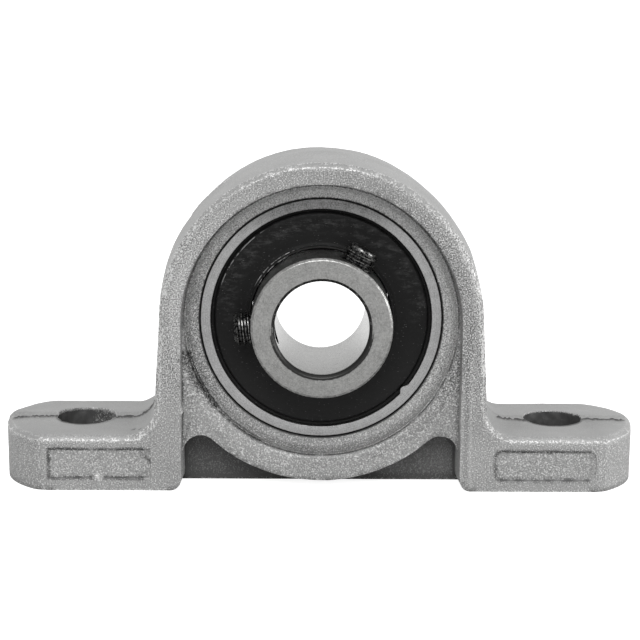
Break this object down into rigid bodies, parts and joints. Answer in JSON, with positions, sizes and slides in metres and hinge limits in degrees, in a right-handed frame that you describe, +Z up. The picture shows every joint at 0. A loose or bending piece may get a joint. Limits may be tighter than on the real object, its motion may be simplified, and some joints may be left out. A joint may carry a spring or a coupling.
{
  "type": "pillow block bearing",
  "caption": "Cast foot-mounted pillow block whose spherical seat holds a sealed self-aligning ball bearing, locked to the shaft by set screws in its collar.",
  "frame": {"origin": "on the base plane, under the middle of the spherical seat", "axes": "+X along the feet, +Y along the shaft away from the long collar, +Z up from the base"},
  "size_m": [0.055, 0.0145, 0.0286],
  "materials": {
    "zinc_casting": "as-cast zinc, fine matt grain",
    "ring_steel": "ground bearing steel",
    "ball_steel": "polished",
    "cage_steel": "pressed sheet",
    "seal_steel": "pressed sheet",
    "seal_rubber": "moulded nitrile, satin",
    "black_steel": "blackened, oiled"
  },
  "bodies": {
    "housing": {"housing": "zinc_casting"},
    "outer_race": {"outer_ring": "ring_steel", "front_seal_insert": "seal_steel", "front_seal_rubber": "seal_rubber", "rear_seal_insert": "seal_steel", "rear_seal_rubber": "seal_rubber"},
    "inner_race": {"inner_ring": "ring_steel"},
    "cage": {"cage_front": "cage_steel", "cage_rear": "cage_steel", "cage_rivets": "cage_steel"},
    "upper_screw": {"set_screw_upper": "black_steel"},
    "left_screw": {"set_screw_left": "black_steel"},
    "ball_1": {"ball_1": "ball_steel"},
    "ball_2": {"ball_2": "ball_steel"},
    "ball_3": {"ball_3": "ball_steel"},
    "ball_4": {"ball_4": "ball_steel"},
    "ball_5": {"ball_5": "ball_steel"},
    "ball_6": {"ball_6": "ball_steel"},
    "ball_7": {"ball_7": "ball_steel"}
  },
  "joints": [
    {"name": "self_aligning_swivel", "type": "hinge", "parent": "housing", "child": "outer_race", "pos_m": [0, 0, 0.0145], "axis": [1, 0, 0], "range_deg": [-3, 3]},
    {"name": "shaft_rotation", "type": "hinge", "parent": "outer_race", "child": "inner_race", "pos_m": [0, 0, 0.0145], "axis": [0, 1, 0], "continuous": true},
    {"name": "cage_rotation", "type": "hinge", "parent": "outer_race", "child": "cage", "pos_m": [0, 0, 0.0145], "axis": [0, 1, 0], "continuous": true},
    {"name": "ball_1_roll", "type": "hinge", "parent": "cage", "child": "ball_1", "pos_m": [0, 0, 0.022], "axis": [0, 1, 0], "continuous": true},
    {"name": "ball_2_roll", "type": "hinge", "parent": "cage", "child": "ball_2", "pos_m": [-0.00586, 0, 0.01918], "axis": [0, 1, 0], "continuous": true},
    {"name": "ball_3_roll", "type": "hinge", "parent": "cage", "child": "ball_3", "pos_m": [-0.00731, 0, 0.01283], "axis": [0, 1, 0], "continuous": true},
    {"name": "ball_4_roll", "type": "hinge", "parent": "cage", "child": "ball_4", "pos_m": [-0.00325, 0, 0.00774], "axis": [0, 1, 0], "continuous": true},
    {"name": "ball_5_roll", "type": "hinge", "parent": "cage", "child": "ball_5", "pos_m": [0.00325, 0, 0.00774], "axis": [0, 1, 0], "continuous": true},
    {"name": "ball_6_roll", "type": "hinge", "parent": "cage", "child": "ball_6", "pos_m": [0.00731, 0, 0.01283], "axis": [0, 1, 0], "continuous": true},
    {"name": "ball_7_roll", "type": "hinge", "parent": "cage", "child": "ball_7", "pos_m": [0.00586, 0, 0.01918], "axis": [0, 1, 0], "continuous": true},
    {"name": "upper_screw_travel", "type": "slide", "parent": "inner_race", "child": "upper_screw", "axis": [0.4848, 0, 0.8746], "range_m": [-0.0004, 0.0012]},
    {"name": "left_screw_travel", "type": "slide", "parent": "inner_race", "child": "left_screw", "axis": [-0.9986, 0, -0.0523], "range_m": [-0.0004, 0.0012]}
  ],
  "couplings": [
    {"joint": "cage_rotation", "follows": "shaft_rotation", "ratio": 0.3677},
    {"joint": "ball_1_roll", "follows": "shaft_rotation", "ratio": -1.7573},
    {"joint": "ball_2_roll", "follows": "shaft_rotation", "ratio": -1.7573},
    {"joint": "ball_3_roll", "follows": "shaft_rotation", "ratio": -1.7573},
    {"joint": "ball_4_roll", "follows": "shaft_rotation", "ratio": -1.7573},
    {"joint": "ball_5_roll", "follows": "shaft_rotation", "ratio": -1.7573},
    {"joint": "ball_6_roll", "follows": "shaft_rotation", "ratio": -1.7573},
    {"joint": "ball_7_roll", "follows": "shaft_rotation", "ratio": -1.7573}
  ]
}
